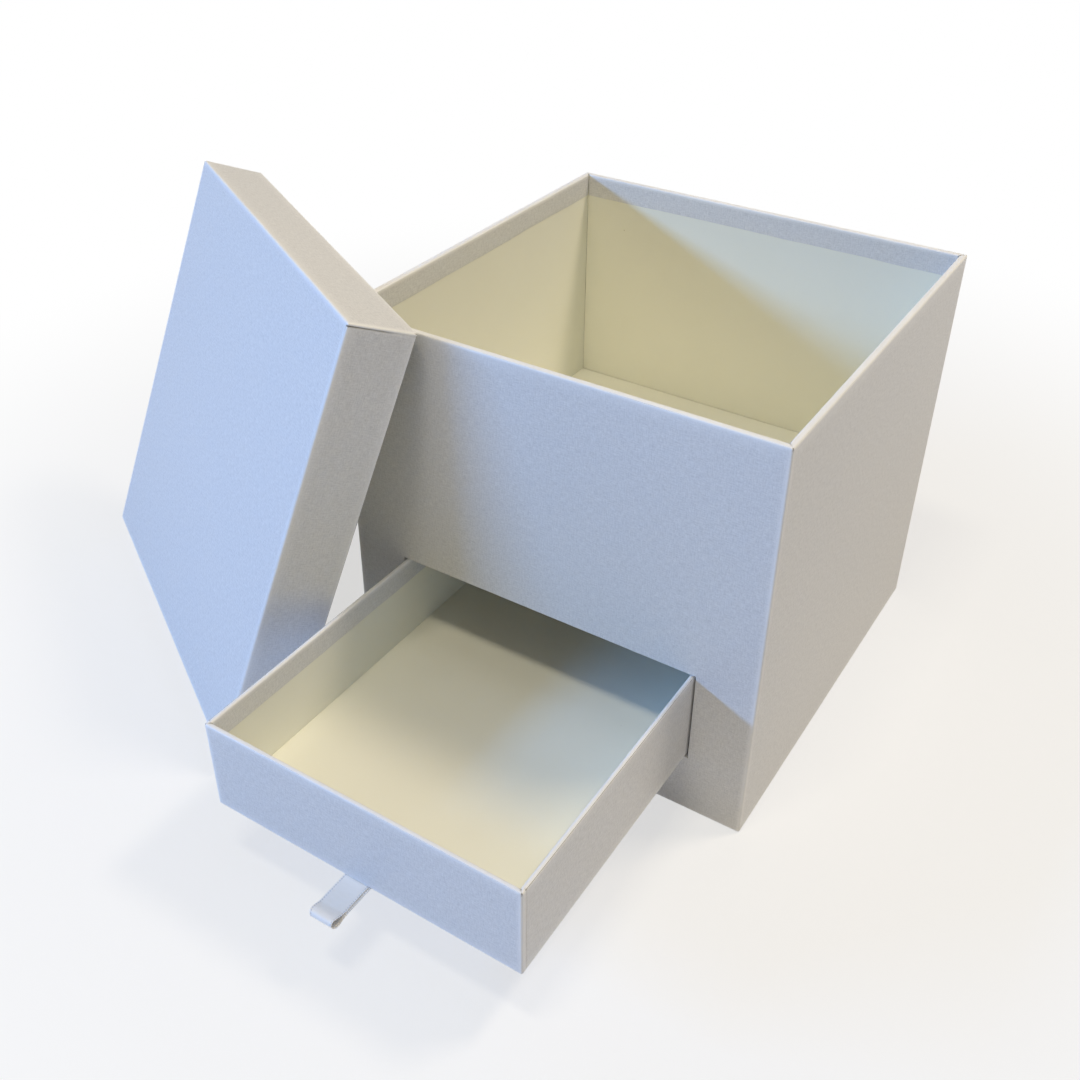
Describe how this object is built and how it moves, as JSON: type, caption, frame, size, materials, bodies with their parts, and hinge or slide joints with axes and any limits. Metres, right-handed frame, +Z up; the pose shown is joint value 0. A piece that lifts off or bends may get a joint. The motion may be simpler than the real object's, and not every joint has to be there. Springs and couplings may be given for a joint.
{
  "type": "sliding drawer gift box",
  "caption": "Square paper-covered gift box with an open upper compartment, a pull-out drawer under it with a ribbon pull, and a shallow lift-off lid.",
  "frame": {"origin": "middle of the case's underside, on the table", "axes": "+Z up, -Y the way the drawer comes out, +X to the right of somebody facing the drawer"},
  "size_m": [0.3854, 0.3455, 0.2044],
  "materials": {
    "pearl_paper": "pearl white wrapping paper with a fine grain and a satin sheen",
    "ivory_paper": "plain matt ivory lining paper",
    "greyboard": "raw grey board, hidden under the papers",
    "satin_ribbon": "white single-face satin with a woven edge"
  },
  "bodies": {
    "case": {"case_back_liner": "ivory_paper", "case_back_panel": "greyboard", "case_base_panel": "greyboard", "case_base_sheet": "pearl_paper", "case_front_liner": "ivory_paper", "case_front_panel": "greyboard", "case_left_liner": "ivory_paper", "case_left_panel": "greyboard", "case_right_liner": "ivory_paper", "case_right_panel": "greyboard", "case_wrap": "pearl_paper", "deck_liner": "ivory_paper", "deck_panel": "greyboard", "guide_left": "greyboard", "guide_right": "greyboard", "riser_back": "greyboard", "riser_front": "greyboard", "riser_left": "greyboard", "riser_right": "greyboard", "shelf_panel": "greyboard"},
    "drawer": {"drawer_back_liner": "ivory_paper", "drawer_back_panel": "greyboard", "drawer_base_panel": "greyboard", "drawer_base_sheet": "pearl_paper", "drawer_floor_liner": "ivory_paper", "drawer_front_liner": "ivory_paper", "drawer_front_panel": "greyboard", "drawer_left_liner": "ivory_paper", "drawer_left_panel": "greyboard", "drawer_right_liner": "ivory_paper", "drawer_right_panel": "greyboard", "drawer_wrap": "pearl_paper", "ribbon_pull": "satin_ribbon"},
    "lid": {"lid_back_liner": "ivory_paper", "lid_back_skirt": "greyboard", "lid_front_liner": "ivory_paper", "lid_front_skirt": "greyboard", "lid_left_liner": "ivory_paper", "lid_left_skirt": "greyboard", "lid_right_liner": "ivory_paper", "lid_right_skirt": "greyboard", "lid_top_liner": "ivory_paper", "lid_top_panel": "greyboard", "lid_wrap": "pearl_paper"}
  },
  "joints": [
    {"name": "drawer_slide", "type": "slide", "parent": "case", "child": "drawer", "axis": [0, -1, 0], "range_m": [-0.125, 0.072]},
    {"name": "lid_lift", "type": "slide", "parent": "case", "child": "lid", "axis": [0, 0, 1], "range_m": [0, 0.2]}
  ]
}
